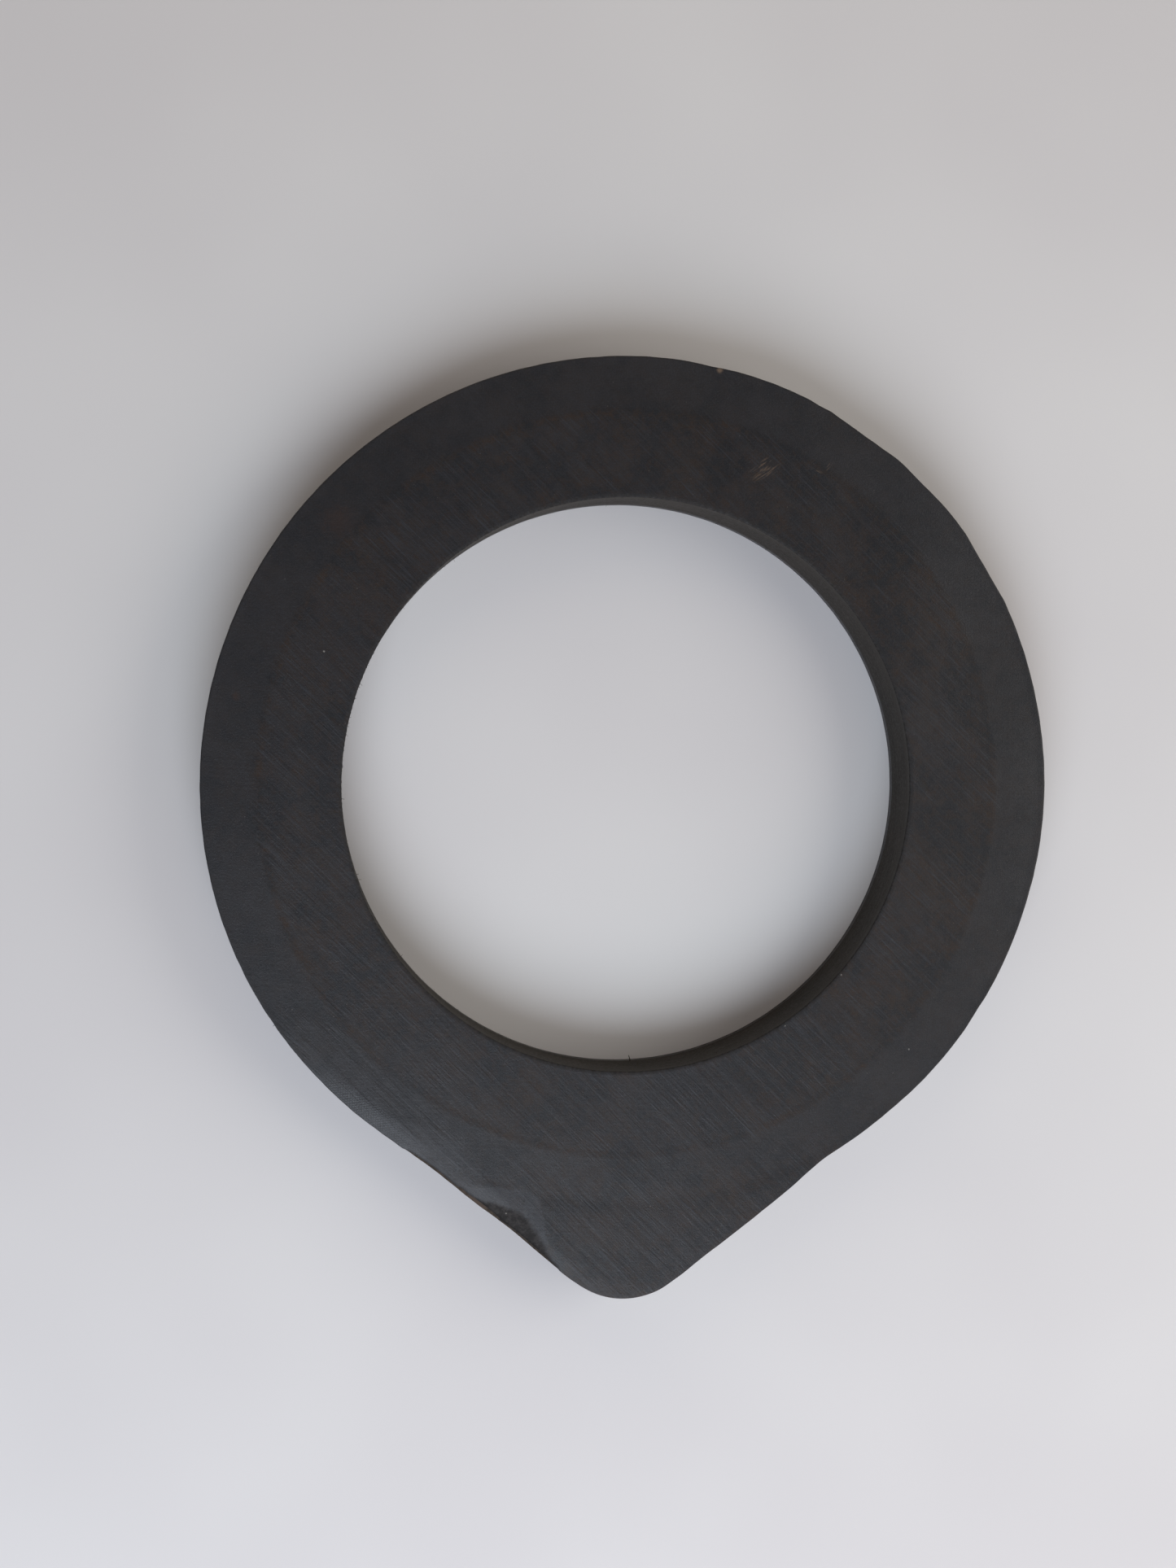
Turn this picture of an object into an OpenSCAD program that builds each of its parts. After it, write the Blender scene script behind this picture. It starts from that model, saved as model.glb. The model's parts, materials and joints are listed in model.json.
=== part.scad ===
// Flange gasket with a pull tab, cut from sheet rubber with two cloth plies bonded in.
// Millimetres. The origin is the bore's centre on the bottom face, +Z runs up the bore,
// and the tab points along -Y. Every layer is cut to the same outline.

/* [Ring] */
// Diameter of the bore
bore_d = 101.6; // [80:0.1:120]
// Diameter of the outer edge
rim_d = 151; // [135:0.1:180]
// How far the outer edge's centre lies from the bore's, towards +X
rim_off = 0.6; // [-2:0.1:2]

/* [Tab] */
// Radius of the tab's rounded tip
tip_r = 13.6; // [8:0.1:20]
// Distance of the tip's centre from the bore's, along -Y
tip_reach = 78; // [65:0.5:100]
// How far the tip's centre lies from the bore's, towards -X
tip_off = 1; // [-5:0.1:5]

/* [Sheet] */
// Thickness of the whole sheet
sheet_t = 12.7; // [8:0.1:20]
// Thickness of each rubber cover
cover_t = 1.6; // [1:0.1:2.5]
// Thickness of each cloth ply
cloth_t = 0.8; // [0.4:0.1:1.2]

/* [Pressed band] */
// Inner diameter of the band that the mating flange's rim has pressed into the top face
band_d = 132; // [125:0.5:134]
// How far the band falls from its inner edge to the outer edge
band_fall = 0.2; // [0.1:0.05:0.5]

/* [Hidden] */
$fn = 180;

rim_centre = [rim_off, 0];
tip_centre = [-tip_off, -tip_reach];
core_t = sheet_t - 2 * (cover_t + cloth_t);

// Height of each layer's lower face
lower_cloth_z = cover_t;
core_z = lower_cloth_z + cloth_t;
upper_cloth_z = core_z + core_t;
top_cover_z = upper_cloth_z + cloth_t;

// The tab's straight flanks touch the outer edge and the tip at the same angle to the line of centres
tab_line = tip_centre - rim_centre;
tab_bearing = atan2(tab_line.y, tab_line.x);
touch_angle = acos((rim_d / 2 - tip_r) / norm(tab_line));

// Point at a bearing on a circle
function on_circle(centre, r, bearing) = centre + r * [cos(bearing), sin(bearing)];

module outline() {
    difference() {
        union() {
            translate(rim_centre) circle(d = rim_d);
            translate(tip_centre) circle(r = tip_r);
            polygon([
                on_circle(rim_centre, rim_d / 2, tab_bearing - touch_angle),
                on_circle(tip_centre, tip_r, tab_bearing - touch_angle),
                on_circle(tip_centre, tip_r, tab_bearing + touch_angle),
                on_circle(rim_centre, rim_d / 2, tab_bearing + touch_angle)
            ]);
        }
        circle(d = bore_d);
    }
}

module layer(z, t) {
    translate([0, 0, z]) linear_extrude(t) outline();
}

// Cut that slopes the band off the top face and leaves the tab level with the band's outer edge
module pressed_band() {
    tab_end = norm(tab_line) + 2 * tip_r;
    translate([rim_centre.x, rim_centre.y, sheet_t]) rotate_extrude() polygon([
        [band_d / 2, 0],
        [rim_d / 2, -band_fall],
        [tab_end, -band_fall],
        [tab_end, band_fall],
        [band_d / 2, band_fall]
    ]);
}

module bottom_cover() {
    color("#2b2b2d") layer(0, cover_t);
}

module lower_cloth_ply() {
    color("#8a7a64") layer(lower_cloth_z, cloth_t);
}

module core_rubber() {
    color("#2d2a27") layer(core_z, core_t);
}

module upper_cloth_ply() {
    color("#8a7a64") layer(upper_cloth_z, cloth_t);
}

module top_cover() {
    color("#323336") difference() {
        layer(top_cover_z, cover_t);
        pressed_band();
    }
}

bottom_cover();
lower_cloth_ply();
core_rubber();
upper_cloth_ply();
top_cover();
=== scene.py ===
"""Cloth-inserted rubber closet gasket with a hand-cut grip tab, built as five laminated layers.

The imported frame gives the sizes. Shapes are worked out in millimetres and meshes are stored in metres.
"""

import json
import math

import bpy
import numpy as np
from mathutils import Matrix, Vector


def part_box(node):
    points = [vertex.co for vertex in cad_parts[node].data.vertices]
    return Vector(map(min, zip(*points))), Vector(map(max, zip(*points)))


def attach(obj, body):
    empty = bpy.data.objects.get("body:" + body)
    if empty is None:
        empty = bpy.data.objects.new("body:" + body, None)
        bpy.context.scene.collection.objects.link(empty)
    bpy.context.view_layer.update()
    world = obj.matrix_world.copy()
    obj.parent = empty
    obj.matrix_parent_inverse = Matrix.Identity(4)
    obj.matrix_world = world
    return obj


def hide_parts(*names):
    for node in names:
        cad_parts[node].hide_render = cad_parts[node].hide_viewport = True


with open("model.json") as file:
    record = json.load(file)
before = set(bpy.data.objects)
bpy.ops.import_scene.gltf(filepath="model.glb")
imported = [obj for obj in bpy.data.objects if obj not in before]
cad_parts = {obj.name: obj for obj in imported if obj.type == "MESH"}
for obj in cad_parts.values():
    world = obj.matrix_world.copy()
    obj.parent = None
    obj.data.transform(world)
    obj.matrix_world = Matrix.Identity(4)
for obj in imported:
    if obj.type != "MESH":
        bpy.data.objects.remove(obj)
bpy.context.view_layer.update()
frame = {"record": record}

# ---------------------------------------------------------------- sizes, in millimetres

MM = 0.001
PER_METRE = 1000.0
UP = np.array([0.0, 0.0, 1.0])

# From the frame
MOUNTS = {mount["name"]: mount for mount in frame["record"]["mounts"]}
BORE_R = MOUNTS["bore"]["dims"]["r_mm"]


def layer_span(node):
    """Lowest and highest z of a CAD layer."""
    low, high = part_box(node)
    return low.z / MM, high.z / MM


COVER_LOW, COVER_TOP = layer_span("top_cover")
UPPER_PLY = layer_span("upper_cloth_ply")
CORE = layer_span("core_rubber")
LOWER_PLY = layer_span("lower_cloth_ply")
BASE = layer_span("bottom_cover")

cover_corner, cover_far_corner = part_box("top_cover")
RIM_R = (cover_far_corner.x - cover_corner.x) / 2 / MM
RIM_CENTRE = np.array([(cover_far_corner.x + cover_corner.x) / 2 / MM, 0.0])

# Grip tab: the outline is a teardrop round the rim circle and this smaller circle
TIP_R = 13.6
TIP_CENTRE = np.array([-1.0, cover_corner.y / MM + TIP_R])
HULL_STEPS = 240

# Hand cutting: straight knife strokes between bearings, and swells where the knife ran wide
KNIFE_FLATS = ((26, 36.5), (50.5, 61.5))
HAND_SWELLS = (
    # bearing and spread in degrees, how far the knife ran outside the line
    (0, 8, 0.12), (45.5, 3, -0.22), (52, 10, -0.1), (63, 1.8, -0.12), (79, 2.2, -0.18), (222, 16, -0.22),
    (243, 7, -0.5), (254, 4, -0.4), (262, 2, 0.2), (276, 2, 0.15), (283, 4, 0.1), (297, 4.5, -0.6),
    (309, 4, -0.08), (327, 2, -0.14), (351, 5, 0.08),
)
CUT_WAVER = 0.02
CUT_WAVES = 90
# How much of the waver all layers share, and how much each has of its own
SHARED_WAVER = 0.7
OWN_WAVER = 0.4
SHARED_CUT_SEED = 5
CUT_SEEDS = {
    "top_cover": 21, "core_rubber": 22, "bottom_cover": 24, "upper_cloth_ply": 25, "lower_cloth_ply": 27,
}

# Outer band that the mating rim has pressed: it falls outwards, and the tab rises a little past it
BAND_R = 66.0
BAND_END_R = 74.0
BAND_FALL = 0.2
TAB_RISE = 0.055
TAB_RISE_LENGTH = 2.6
TAB_FALL = 0.22
TAB_FALL_CURVE = 1.6
LEAST_COVER = 0.2
UNDULATION = 0.05
UNDULATION_LENGTH = 32.0
UNDULATION_SEED = 3
UNDERSIDE_UNDULATION = 0.03
UNDERSIDE_LENGTH = 24.0
UNDERSIDE_SEED = 8

# Left flank of the tab: distances run along the cut edge from a start point, and inwards from the edge
FLANK_START = np.array([-24.1, -76.3])
FLANK_FALL = math.radians(40)
FLANK_REACH = 6.0
FLANK_ALONG = np.array([math.cos(FLANK_FALL), -math.sin(FLANK_FALL)])
FLANK_INWARD = np.array([math.sin(FLANK_FALL), math.cos(FLANK_FALL)])
# Patches: where each starts, is widest and ends along the flank, and its greatest width.
# The shoulder, the facet and the tear are pared down, and their slopes are depths per millimetre.
SHOULDER = (-34.0, -12.0, 0.0, 7.2)
SHOULDER_SLOPE = 0.03
FACET = (-12.0, 3.0, 14.5, 7.6)
FACET_SLOPE = 0.05
TEAR = (-9.0, 3.5, 17.0, 4.0)
TEAR_SLOPE = 0.04
TEAR_ROUGHNESS = 0.03
CRUMB_LENGTH = 1.3
CRUMB_FADE = 0.4
CRUMB_SEED = 41
# The streaks run on over the band on one patch. On another the skin is polished smoother, and the fine
# weave and the streaks carry a painted highlight
WIPED = (-70.0, -35.0, 20.0, 14.0)
POLISH_AND_HIGHLIGHT = (-50.0, -28.0, -6.0, 4.0)
# Share of a patch's width over which it fades in at its two ends
PATCH_FADE = 0.15
# Slivers where the cover is cut back and the cloth shows: start, end, width and paleness
PLY_STRIPS = ((-20.5, -7.0, 0.45, 0.7), (-9.0, 1.0, 0.7, 1.0), (0.0, 15.0, 0.4, 0.45))

# Cut edges
EDGE_ROUND = 0.2
BORE_ROUND = 0.14
RIM_ROLL = 3.4
RIM_ROLL_DROP = 0.03
FLANK_ROLL_DROP = 0.36
FLANK_ROLL_RANGE = (-52.0, -34.0, 10.0, 34.0)
BORE_WAVER = 0.012
BORE_WAVES = 50
BORE_SEED = 31
# The bore's upper edge is ragged, and its painted shade line is broken into about as many ticks to a turn
BORE_RAG = 0.05
BORE_TICKS = 300
RAG_SEED = 32
TICK_SEED = 33
TICK_CONTRAST = 0.6
LEAST_TICK = 0.35
# The painted shade line beside the bare cloth, and the width of bare cloth that brings it out fully
BARE_SHADE_LINE = 0.5
BARE_SHADE_LINE_WIDTH = 0.3
# Lines where the blade dragged, with seeds for each layer's rim and bore
BORE_DRAG = 0.006
RIM_DRAG = 0.02
DRAG_WAVES = 24
DRAG_SEEDS = {"top_cover": (51, 61), "core_rubber": (71, 171), "bottom_cover": (81, 91)}
CORE_INSET = 0.04
CORE_HOLLOW = 0.06
THREAD_RELIEF = 0.05
BORE_THREAD_RELIEF = 0.006

# Loose threads at the cut edges of the cloth
FRAYS_IN_BORE = 90
FRAYS_ON_RIM = 12
FRAY_LENGTH = (0.12, 0.45)
FRAY_R = (0.02, 0.05)
# Middle heights of the two plies, which the threads come out of
FRAY_HEIGHTS = [sum(span) / 2 for span in (UPPER_PLY, LOWER_PLY)]
LONG_FRAY_BEARING = math.radians(-88.4)
LONG_FRAY_LENGTH = 0.7
LONG_FRAY_R = 0.12
FRAY_SPREAD = 0.15
FRAY_CURL = 0.3
FRAY_THINNING = 0.5
FRAY_STEPS = 5
FRAY_SIDES = 6
FRAY_SEED = 77

# Woven cloth that the covers were cured against, in turns per millimetre
WARP_TURNS = (1.0, 0.01)
WEFT_TURNS = (0.083, 1.105)
# Slant of the wiped streaks
STREAK_ANGLE = math.radians(-44)
# Repeat of the fine cloth under the polished, highlighted patch, along and across the streaks
FINE_THREADS = (0.56, 0.68)

# Mesh detail: points round each loop, and rows of loops over each stretch of a layer
COVER_SAMPLES = 1152
PLY_SAMPLES = 3600
BAND_ROWS = 34
FACE_ROWS = 23
UNDERSIDE_ROWS = 20
RIM_EDGE_ROWS = 4
BORE_EDGE_ROWS = 3
COVER_WALL_ROWS = 6
CORE_WALL_ROWS = 36
PLY_WALL_ROWS = 7
SHARP_ANGLE = math.radians(50)


# ---------------------------------------------------------------- small maths


def smooth(value):
    """Smooth step: 0 below 0, 1 above 1."""
    value = np.clip(value, 0.0, 1.0)
    return value * value * (3 - 2 * value)


def plateau(place, start, full, until, end):
    """A smooth rise to 1 between start and full, and a fall to 0 between until and end."""
    return smooth((place - start) / (full - start)) * smooth((end - place) / (end - until))


def ripple(x, y, length, seed, waves=9):
    """Soft uneven waves of about one length over the plane, between about -1 and 1."""
    rng = np.random.default_rng(seed)
    total = np.zeros_like(x)
    for _ in range(waves):
        heading = rng.uniform(0, math.tau)
        turns = math.tau / (length * rng.uniform(0.7, 1.4))
        total += np.cos(turns * (x * math.cos(heading) + y * math.sin(heading)) + rng.uniform(0, math.tau))
    return total / math.sqrt(waves)


def wander(bearing, turns, seed, waves=12):
    """Uneven waves round a loop, with about the given number of waves to a turn."""
    rng = np.random.default_rng(seed)
    total = np.zeros_like(bearing)
    for _ in range(waves):
        count = round(turns * rng.uniform(0.3, 1.7))
        total += np.cos(count * bearing + rng.uniform(0, math.tau))
    return total / math.sqrt(waves)


# ---------------------------------------------------------------- outlines


def bearings(count):
    """Evenly spaced bearings about the bore's axis, anticlockwise from +X."""
    return np.arange(count) * math.tau / count


def ray_reach(bearing, centre, radius):
    """How far a ray from the bore's axis goes before it leaves a circle, or 0 where it misses it."""
    along = centre[0] * np.cos(bearing) + centre[1] * np.sin(bearing)
    half_chord = radius ** 2 - centre @ centre + along ** 2
    return np.where(half_chord > 0, along + np.sqrt(np.maximum(half_chord, 0)), 0)


def teardrop(bearing):
    """The hull of the rim circle and the tip circle, swept as one circle that moves and shrinks."""
    reach = np.zeros_like(bearing)
    for share in np.linspace(0, 1, HULL_STEPS):
        centre = RIM_CENTRE * (1 - share) + TIP_CENTRE * share
        reach = np.maximum(reach, ray_reach(bearing, centre, RIM_R * (1 - share) + TIP_R * share))
    return reach


def cut_straight(bearing, reach, start, end):
    """Pares the outline back to a straight line between two bearings given in degrees."""
    first, last = math.radians(start), math.radians(end)
    near, far = np.interp([first, last], bearing, reach)
    tail = np.array([near * math.cos(first), near * math.sin(first)])
    head = np.array([far * math.cos(last), far * math.sin(last)])
    normal = np.array([head[1] - tail[1], tail[0] - head[0]])
    straight = normal @ tail / (normal[0] * np.cos(bearing) + normal[1] * np.sin(bearing))
    inside = (bearing > first) & (bearing < last)
    return np.where(inside, np.minimum(reach, straight), reach)


def hand_cut(bearing, layer):
    """The hand-cut outline of one layer. Each layer differs from the next by a hair's breadth."""
    reach = teardrop(bearing)
    for middle, spread, swell in HAND_SWELLS:
        turn = np.angle(np.exp(1j * (bearing - math.radians(middle))))
        reach += swell * np.exp(-(turn / math.radians(spread)) ** 2)
    for start, end in KNIFE_FLATS:
        reach = cut_straight(bearing, reach, start, end)
    shared = wander(bearing, CUT_WAVES, SHARED_CUT_SEED)
    own = wander(bearing, CUT_WAVES, CUT_SEEDS[layer])
    return reach + CUT_WAVER * (SHARED_WAVER * shared + OWN_WAVER * own)


def bore_cut(bearing):
    """The bore's outline, which one cut made through every layer."""
    return BORE_R + BORE_WAVER * wander(bearing, BORE_WAVES, BORE_SEED)


def ring(bearing, reach):
    """Points of a loop, one for each bearing."""
    return np.stack([reach * np.cos(bearing), reach * np.sin(bearing)], axis=1)


def outward(loop):
    """Unit normals of a closed anticlockwise loop."""
    tangent = np.roll(loop, -1, axis=0) - np.roll(loop, 1, axis=0)
    normal = np.stack([tangent[:, 1], -tangent[:, 0]], axis=1)
    return normal / np.linalg.norm(normal, axis=1)[:, None]


def moved(loop, distance):
    """A loop moved outwards along its normals."""
    return loop + outward(loop) * np.broadcast_to(distance, len(loop))[:, None]


def at_height(loop, height):
    """A row of mesh points: a loop at one height, or at a height for each point."""
    return np.column_stack([loop, np.broadcast_to(height, len(loop))])


# ---------------------------------------------------------------- shape of the top skin


def flank_place(x, y):
    """Distances along the tab's left flank and inwards from it."""
    along = (x - FLANK_START[0]) * FLANK_ALONG[0] + (y - FLANK_START[1]) * FLANK_ALONG[1]
    inward = (x - FLANK_START[0]) * FLANK_INWARD[0] + (y - FLANK_START[1]) * FLANK_INWARD[1]
    return along, inward


def patch_depth(x, y, patch):
    """Distance out from the inner edge of a patch on the flank, fading to 0 at its two ends."""
    start, peak, end, width = patch
    along, inward = flank_place(x, y)
    share = plateau(along, start, peak, peak, end)
    return np.maximum(width * share - inward, 0) * smooth(share / PATCH_FADE)


def flank_drop(x, y):
    """How far the pared patches on the tab's left flank drop below the skin."""
    torn = patch_depth(x, y, TEAR)
    rough = TEAR_ROUGHNESS * ripple(x, y, CRUMB_LENGTH, CRUMB_SEED) * smooth(torn / CRUMB_FADE)
    pared = SHOULDER_SLOPE * patch_depth(x, y, SHOULDER) + FACET_SLOPE * patch_depth(x, y, FACET)
    return pared + TEAR_SLOPE * torn + rough


def band_drop(x, y):
    """How far the pressed band and the tab lie below the inner face."""
    from_rim_centre = np.hypot(x - RIM_CENTRE[0], y - RIM_CENTRE[1])
    fall = BAND_FALL * np.clip((from_rim_centre - BAND_R) / (BAND_END_R - BAND_R), 0, 1)
    rise = TAB_RISE * smooth((from_rim_centre - BAND_END_R) / TAB_RISE_LENGTH)
    past_rise = np.maximum(from_rim_centre - BAND_END_R - TAB_RISE_LENGTH, 0)
    return fall - rise + TAB_FALL * (past_rise / TIP_R) ** TAB_FALL_CURVE


def top_height(x, y):
    """Height of the top skin at each point."""
    swell = UNDULATION * (ripple(x, y, UNDULATION_LENGTH, UNDULATION_SEED) - 1)
    return np.maximum(COVER_TOP + swell - band_drop(x, y) - flank_drop(x, y), COVER_LOW + LEAST_COVER)


def underside_height(x, y):
    """Height of the underside at each point."""
    swell = np.clip(ripple(x, y, UNDERSIDE_LENGTH, UNDERSIDE_SEED), -1, 1)
    return BASE[0] + UNDERSIDE_UNDULATION * (1 + swell)


def rim_roll(x, y):
    """How far the skin rolls down at the rim itself. It rolls furthest along the tab's left flank."""
    along, inward = flank_place(x, y)
    near_flank = np.where(inward < FLANK_REACH, plateau(along, *FLANK_ROLL_RANGE), 0)
    return RIM_ROLL_DROP + FLANK_ROLL_DROP * near_flank


# ---------------------------------------------------------------- meshes


def add_object(name, data):
    """Puts a mesh, a camera or a light into the scene."""
    added = bpy.data.objects.new(name, data)
    bpy.context.collection.objects.link(added)
    return added


def loft(name, rows, material, **marks):
    """Joins closed loops of points into one ring-shaped mesh, each to the next and the last to the first.

    Each mark is a number between 0 and 1 for each point, which the material reads by its name.
    """
    grid = np.array(rows) * MM
    count, samples, _ = grid.shape
    row = np.arange(count)[:, None] * samples
    next_row = np.roll(row, -1, axis=0)
    column = np.arange(samples)[None, :]
    next_column = np.roll(column, -1, axis=1)
    quads = np.stack([row + column, row + next_column, next_row + next_column, next_row + column], axis=-1)
    mesh = bpy.data.meshes.new(name)
    mesh.from_pydata(grid.reshape(-1, 3), [], quads.reshape(-1, 4))
    mesh.polygons.foreach_set("use_smooth", [True] * len(mesh.polygons))
    mesh.set_sharp_from_angle(angle=SHARP_ANGLE)
    mesh.materials.append(material)
    for mark, values in marks.items():
        layer = mesh.attributes.new(mark, "FLOAT", "POINT")
        layer.data.foreach_set("value", np.broadcast_to(values, (count, samples)).ravel())
    return add_object(name, mesh)


def round_over(loop, height, radius, steps, side):
    """Rows of a quarter-round from a wall over its top edge. Side 1 is the rim's, and -1 the bore's."""
    rows = []
    for turn in np.linspace(0, math.pi / 2, steps):
        inset = radius * (1 - math.cos(turn))
        rows.append(at_height(moved(loop, -side * inset), height - radius * (1 - math.sin(turn))))
    return rows[::side]


def wall(loop, low, high, steps, seed, depth):
    """Rows of a knife-cut wall, from low to high, with fine lines where the blade dragged."""
    bearing = np.arctan2(loop[:, 1], loop[:, 0])
    rows = []
    for step, share in enumerate(np.linspace(0, 1, steps)):
        drag = depth * math.sin(math.pi * share) * wander(bearing, DRAG_WAVES, seed + step)
        rows.append(at_height(moved(loop, drag), low + (high - low) * share))
    return rows


def between(outer, inner, steps):
    """Loops from just inside the outer one to just outside the inner one."""
    return [outer + (inner - outer) * share for share in np.linspace(0, 1, steps + 2)[1:-1]]


def bare_cloth(loop):
    """How far the cover is cut back from each point of its rim, and how pale the cloth looks there."""
    along, inward = flank_place(*loop.T)
    width = np.zeros(len(loop))
    pale = np.zeros(len(loop))
    for start, end, widest, paleness in PLY_STRIPS:
        share = np.clip((along - start) / (end - start), 0, 1)
        swell = np.where(inward < FLANK_REACH, np.sqrt(np.sin(math.pi * share)), 0)
        width += widest * swell
        pale = np.maximum(pale, paleness * swell)
    return width, pale


def skin_rows(outer, lip, roll):
    """Rows of the upper skin, from the rolled rim over the edge of the band to the bore's lip."""
    bearing = bearings(COVER_SAMPLES)
    band = ring(bearing, ray_reach(bearing, RIM_CENTRE, BAND_R))
    shoulder = moved(outer, -EDGE_ROUND)
    rows = []
    for loop in between(shoulder, band, BAND_ROWS) + [band] + between(band, lip, FACE_ROWS):
        depth_in = np.einsum("ij,ij->i", shoulder - loop, outward(outer))
        rolled = roll * np.maximum(1 - depth_in / RIM_ROLL, 0) ** 2
        rows.append(at_height(loop, top_height(*loop.T) - rolled))
    return rows


def build_top_cover(material):
    """The upper cover. Its face carries the band, the pared flank, the rolled rim and the bore's edge."""
    bearing = bearings(COVER_SAMPLES)
    rim = ring(bearing, hand_cut(bearing, "top_cover"))
    bare, _ = bare_cloth(rim)
    outer = moved(rim, -bare)
    bore = ring(bearing, bore_cut(bearing))
    bore_top = ring(bearing, bore_cut(bearing) + BORE_RAG * wander(bearing, BORE_TICKS, RAG_SEED))
    roll = rim_roll(*outer.T)
    rim_height = top_height(*outer.T) - roll
    bore_height = top_height(*bore_top.T)
    rim_seed, bore_seed = DRAG_SEEDS["top_cover"]
    rim_wall = wall(outer, COVER_LOW, rim_height - EDGE_ROUND, COVER_WALL_ROWS, rim_seed, RIM_DRAG)[:-1]
    rim_edge = round_over(outer, rim_height, EDGE_ROUND, RIM_EDGE_ROWS, 1)
    skin = skin_rows(outer, moved(bore_top, BORE_ROUND), roll)
    bore_edge = round_over(bore_top, bore_height, BORE_ROUND, BORE_EDGE_ROWS, -1)
    bore_wall = wall(bore, COVER_LOW, bore_height - BORE_ROUND, COVER_WALL_ROWS, bore_seed, BORE_DRAG)
    bore_wall = bore_wall[:-1][::-1]
    rows = rim_wall + rim_edge + skin + bore_edge + bore_wall
    cut = np.zeros((len(rows), 1))
    cut[:len(rim_wall) + 1] = 1
    cut[-len(bore_wall) - 1:] = 1
    # The line round the bore's edge, and the line beside the bare cloth, are painted shade, darker than the
    # skin
    dark_line = np.zeros((len(rows), COVER_SAMPLES))
    dark_line[len(rim_wall):len(rim_wall) + len(rim_edge)] = BARE_SHADE_LINE * smooth(bare / BARE_SHADE_LINE_WIDTH)
    ticks = smooth(0.5 + TICK_CONTRAST * wander(bearing, BORE_TICKS, TICK_SEED))
    dark_line[-len(bore_wall) - len(bore_edge):-len(bore_wall)] = LEAST_TICK + (1 - LEAST_TICK) * ticks
    return loft("top_cover_skin", rows, material, cut=cut, dark_line=dark_line)


def hollow_wall(loop, seed, drag, hollow):
    """Rows of the core's wall, moved outwards by the hollow half way up."""
    low, high = CORE
    rows = []
    for row in wall(loop, low, high, CORE_WALL_ROWS, seed, drag):
        share = (row[0, 2] - low) / (high - low)
        rows.append(at_height(moved(row[:, :2], hollow * math.sin(math.pi * share)), row[:, 2]))
    return rows


def build_core(material):
    """The thick middle of the sheet. The blade pressed its cut walls very slightly hollow."""
    bearing = bearings(COVER_SAMPLES)
    outer = ring(bearing, hand_cut(bearing, "core_rubber") - CORE_INSET)
    bore = ring(bearing, bore_cut(bearing))
    rim_seed, bore_seed = DRAG_SEEDS["core_rubber"]
    rim_wall = hollow_wall(outer, rim_seed, RIM_DRAG, -CORE_HOLLOW)
    bore_wall = hollow_wall(bore, bore_seed, BORE_DRAG, CORE_HOLLOW)[::-1]
    return loft("core_rubber_body", rim_wall + bore_wall, material)


def thread_ends(loop):
    """How strongly a cut thread end shows at each point of a wall, from 0 between threads to 1 on one."""
    facing = np.abs(outward(loop))
    warp = loop @ np.array(WARP_TURNS)
    weft = loop @ np.array(WEFT_TURNS)
    warp_end = (0.5 + 0.5 * np.cos(math.tau * (warp + 0.5))) * facing[:, 1]
    weft_end = (0.5 + 0.5 * np.cos(math.tau * (weft + 0.5))) * facing[:, 0]
    return np.maximum(warp_end, weft_end)


def thread_wall(loop, span, relief):
    """Rows of a cloth ply's wall, with its cut thread ends standing outwards by the relief."""
    low, high = span
    rows = []
    for share in np.linspace(0, 1, PLY_WALL_ROWS):
        swell = relief * math.sin(math.pi * share) * (thread_ends(loop) - 0.5)
        rows.append(at_height(moved(loop, swell), low + (high - low) * share))
    return rows


def build_ply(name, layer, span, material):
    """One cloth ply. Its thread ends stand out of the rim, and the bore's cut smeared them flat."""
    bearing = bearings(PLY_SAMPLES)
    outer = ring(bearing, hand_cut(bearing, layer))
    bore = ring(bearing, bore_cut(bearing))
    rim_wall = thread_wall(outer, span, THREAD_RELIEF)
    bore_wall = thread_wall(bore, span, -BORE_THREAD_RELIEF)[::-1]
    smeared = np.repeat([[0.0], [1.0]], PLY_WALL_ROWS, axis=0)
    _, pale = bare_cloth(outer)
    bare = np.vstack([np.tile(pale, (PLY_WALL_ROWS, 1)), np.zeros((PLY_WALL_ROWS, PLY_SAMPLES))])
    return loft(name, rim_wall + bore_wall, material, smeared=smeared, bare=bare)


def fray(root, heading, length, radius, rng):
    """Rings of points along one loose thread, which curls and thins as it leaves the cut."""
    share = np.linspace(0, 1, FRAY_STEPS)[:, None]
    curl = rng.normal(0, FRAY_CURL, 3)
    path = root + length * (heading * share + curl * share ** 2)
    side = np.cross(heading, UP)
    side /= np.linalg.norm(side)
    turns = bearings(FRAY_SIDES)[None, :, None]
    spread = radius * (1 - FRAY_THINNING * share)[:, None, :]
    return path[:, None, :] + spread * (np.cos(turns) * side + np.sin(turns) * UP)


def facing(bearing):
    """The level direction outwards from the bore's axis."""
    return np.array([math.cos(bearing), math.sin(bearing), 0.0])


def frays_along(edge, side, count, rng):
    """Root, heading, length and radius of each loose thread round a cut edge, given as bearing to reach."""
    places = []
    for bearing in rng.uniform(0, math.tau, count):
        height = rng.choice(FRAY_HEIGHTS) + rng.normal(0, FRAY_SPREAD)
        root = facing(bearing) * edge(bearing) + UP * height
        places.append((root, side * facing(bearing), rng.uniform(*FRAY_LENGTH), rng.uniform(*FRAY_R)))
    return places


def rim_reach(bearing):
    """How far out the threads on the rim are rooted."""
    reach = hand_cut(bearings(COVER_SAMPLES), "upper_cloth_ply")
    return np.interp(bearing, bearings(COVER_SAMPLES), reach) - FRAY_R[1]


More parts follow.
